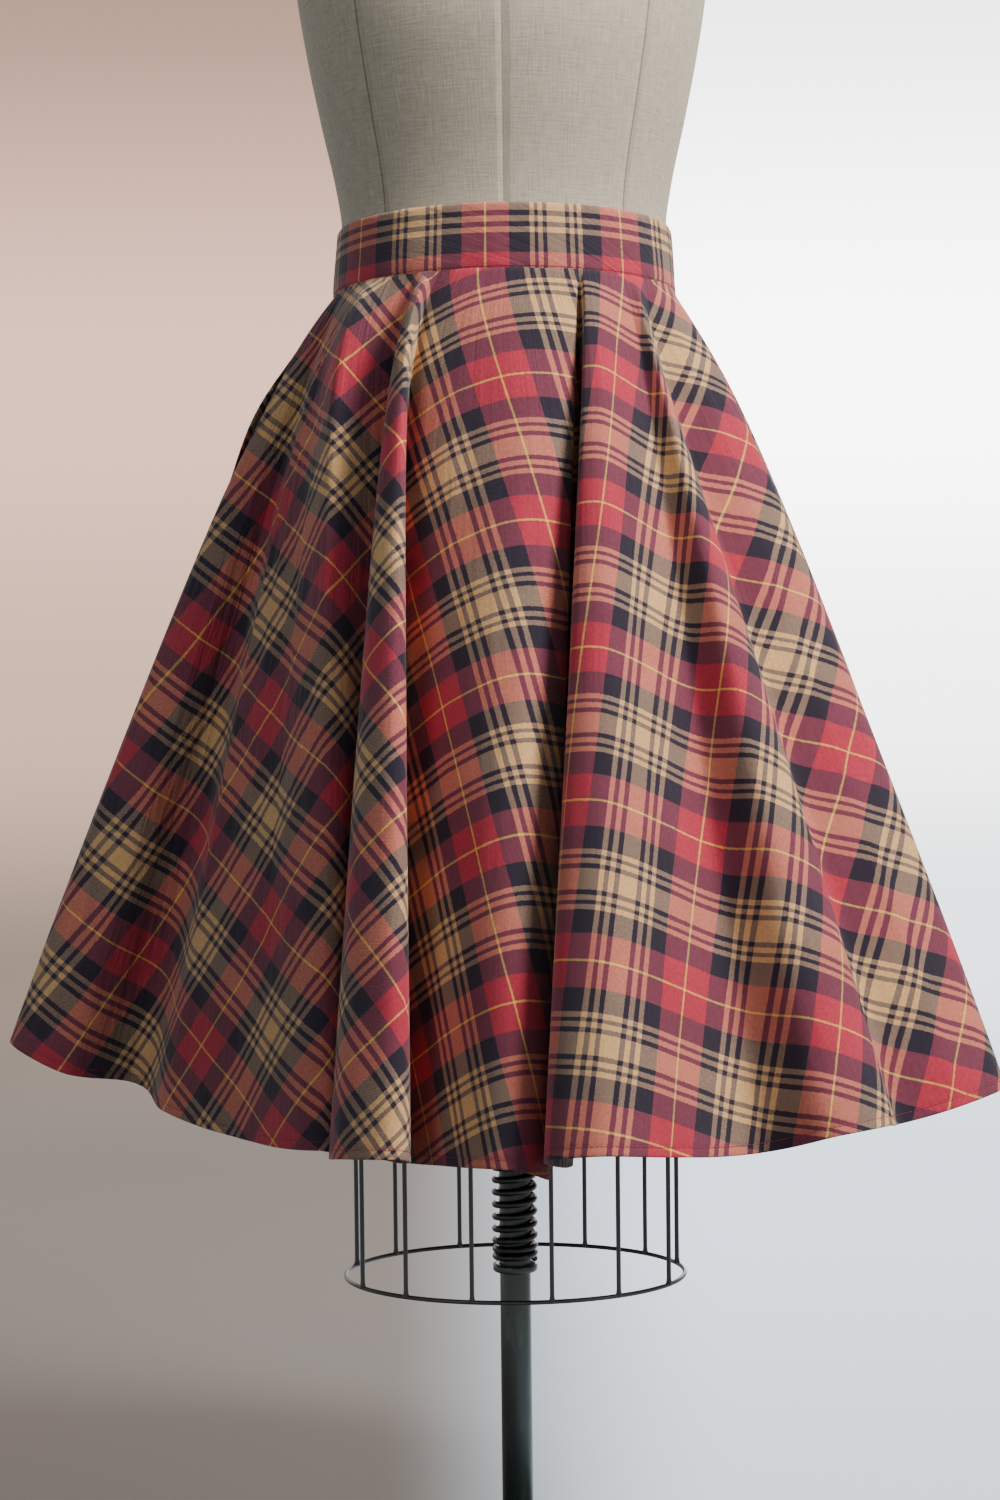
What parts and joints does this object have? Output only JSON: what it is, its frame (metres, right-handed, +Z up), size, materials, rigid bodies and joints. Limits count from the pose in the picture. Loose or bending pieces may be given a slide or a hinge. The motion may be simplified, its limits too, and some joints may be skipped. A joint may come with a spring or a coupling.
{
  "type": "circle skirt on dress form",
  "caption": "Full circle skirt with a contour waistband and an in-seam pocket, standing on a limbless dress form with a wire cage, a sprung pole and a round base plate.",
  "frame": {"origin": "centre of the base plate's underside, on the floor under the pole", "axes": "+Z up along the pole; -Y to the front of the skirt; +X to the viewer's right when facing the front"},
  "size_m": [0.8015, 0.6687, 1.5223],
  "materials": {
    "skirt_front": "brushed cotton twill in a red, navy and tan plaid",
    "skirt_back": "brushed cotton twill in a red, navy and tan plaid",
    "waistband": "brushed cotton twill in a red, navy and tan plaid, faced and edge-stitched",
    "band_button": "polished",
    "form_torso": "tight plain linen cover over a moulded shell",
    "neck_cap": "turned and varnished",
    "form_hub": "black enamel",
    "cage_ring": "black enamel",
    "cage_wire_01": "black enamel",
    "cage_wire_02": "black enamel",
    "cage_wire_03": "black enamel",
    "cage_wire_04": "black enamel",
    "cage_wire_05": "black enamel",
    "cage_wire_06": "black enamel",
    "cage_wire_07": "black enamel",
    "cage_wire_08": "black enamel",
    "cage_wire_09": "black enamel",
    "cage_wire_10": "black enamel",
    "cage_wire_11": "black enamel",
    "cage_wire_12": "black enamel",
    "cage_wire_13": "black enamel",
    "lift_tube": "bright drawn steel",
    "pole_tube": "worn dark green enamel",
    "coil_spring": "blackened spring wire",
    "spring_collar": "worn dark green enamel",
    "base_plate": "black enamelled casting"
  },
  "bodies": {
    "stand": {"base_plate": "base_plate", "pole_tube": "pole_tube", "spring_collar": "spring_collar", "coil_spring": "coil_spring"},
    "lift": {"lift_tube": "lift_tube"},
    "form": {"form_torso": "form_torso", "neck_cap": "neck_cap", "form_hub": "form_hub", "cage_ring": "cage_ring", "cage_wire_01": "cage_wire_01", "cage_wire_02": "cage_wire_02", "cage_wire_03": "cage_wire_03", "cage_wire_04": "cage_wire_04", "cage_wire_05": "cage_wire_05", "cage_wire_06": "cage_wire_06", "cage_wire_07": "cage_wire_07", "cage_wire_08": "cage_wire_08", "cage_wire_09": "cage_wire_09", "cage_wire_10": "cage_wire_10", "cage_wire_11": "cage_wire_11", "cage_wire_12": "cage_wire_12", "cage_wire_13": "cage_wire_13", "skirt_front": "skirt_front", "skirt_back": "skirt_back", "waistband": "waistband", "band_button": "band_button"}
  },
  "joints": [
    {"name": "height_slide", "type": "slide", "parent": "stand", "child": "lift", "axis": [0, 0, 1], "range_m": [0, 0.13]},
    {"name": "form_swivel", "type": "hinge", "parent": "lift", "child": "form", "pos_m": [0, 0, 0.86], "axis": [0, 0, 1], "continuous": true}
  ]
}
